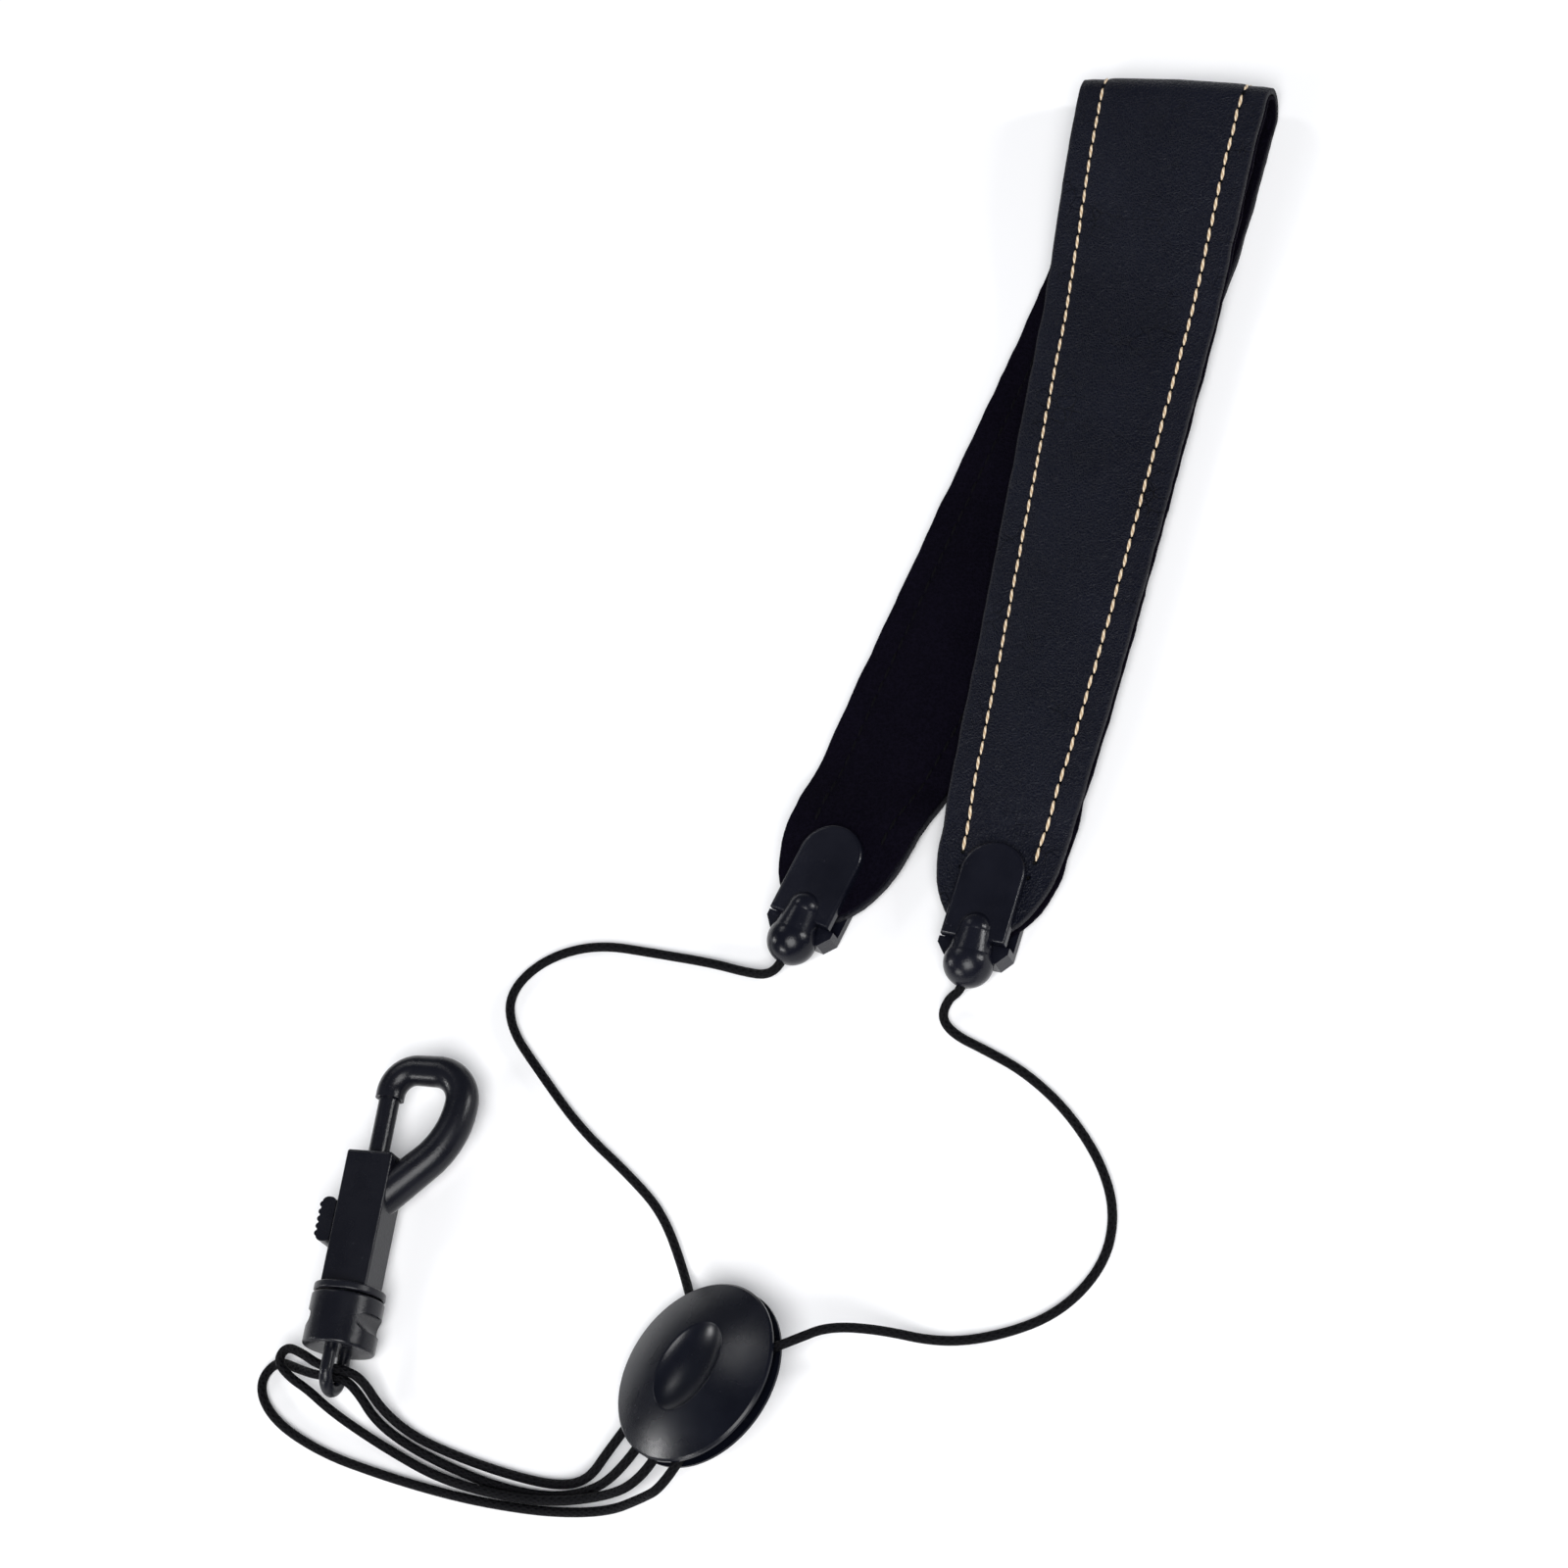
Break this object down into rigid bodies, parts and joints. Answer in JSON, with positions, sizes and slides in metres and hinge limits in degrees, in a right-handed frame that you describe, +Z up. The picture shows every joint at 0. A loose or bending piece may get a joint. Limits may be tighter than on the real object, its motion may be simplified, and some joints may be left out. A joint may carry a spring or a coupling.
{
  "type": "saxophone neck strap",
  "caption": "Padded leather neck band with cord clips, a sliding round cord adjuster and a swivel snap hook, for carrying a saxophone.",
  "frame": {"origin": "on the surface the strap lies on, under the middle of the band, clips, adjuster and hook", "axes": "+Z up; +Y along the front leg of the band, from its clip towards the fold; +X to the band's right seen from above"},
  "size_m": [0.1777, 0.3408, 0.0199],
  "materials": {
    "leather": "satin black grained leather",
    "foam": "closed-cell foam, covered",
    "lining": "matt black brushed lining",
    "satin_plastic": "moulded, fine texture",
    "disc_plastic": "moulded, low sheen",
    "hook_plastic": "moulded, satin",
    "cord": "braided",
    "thread": "waxed stitching thread",
    "pin_metal": "plain",
    "screw_metal": "blackened",
    "spring_steel": "plain"
  },
  "bodies": {
    "strap": {"leather_band": "leather", "foam_core": "foam", "soft_lining": "lining", "left_clip_top_jaw": "satin_plastic", "left_clip_base_jaw": "satin_plastic", "left_clip_pins": "pin_metal", "left_clip_cord_knot": "cord", "right_clip_top_jaw": "satin_plastic", "right_clip_base_jaw": "satin_plastic", "right_clip_pins": "pin_metal", "right_clip_cord_knot": "cord", "cord_left": "cord", "cord_right": "cord", "cord_hook_inner": "cord", "cord_hook_outer": "cord"},
    "adjuster": {"adjuster_front_cover": "disc_plastic", "adjuster_back_cover": "disc_plastic", "adjuster_guide_ring": "disc_plastic", "adjuster_turn_post": "disc_plastic", "adjuster_screws": "screw_metal", "adjuster_cord_spans": "cord"},
    "hook_eye": {"eye_loop": "hook_plastic", "swivel_cap": "hook_plastic"},
    "hook": {"hook_body": "hook_plastic", "swivel_stud": "pin_metal", "gate_spring": "spring_steel"},
    "gate": {"gate_bolt": "hook_plastic", "thumb_slider": "hook_plastic"}
  },
  "joints": [
    {"name": "adjuster_slide", "type": "slide", "parent": "strap", "child": "adjuster", "axis": [0.33, 0.944, 0], "range_m": [-0.012, 0.018], "deforming": ["cord_left", "cord_right", "cord_hook_inner", "cord_hook_outer"]},
    {"name": "hook_tilt", "type": "hinge", "parent": "strap", "child": "hook_eye", "pos_m": [-0.0652, -0.1565, 0.0078], "axis": [0.9976, 0.0698, 0], "range_deg": [0, 100]},
    {"name": "hook_swivel", "type": "hinge", "parent": "hook_eye", "child": "hook", "pos_m": [-0.0652, -0.1565, 0.0078], "axis": [0.0698, -0.9976, 0], "continuous": true},
    {"name": "gate_slide", "type": "slide", "parent": "hook", "child": "gate", "axis": [0.0698, -0.9976, 0], "range_m": [0, 0.008], "stiffness_N_per_m": 300, "springref_m": -0.006, "deforming": ["gate_spring"]}
  ]
}
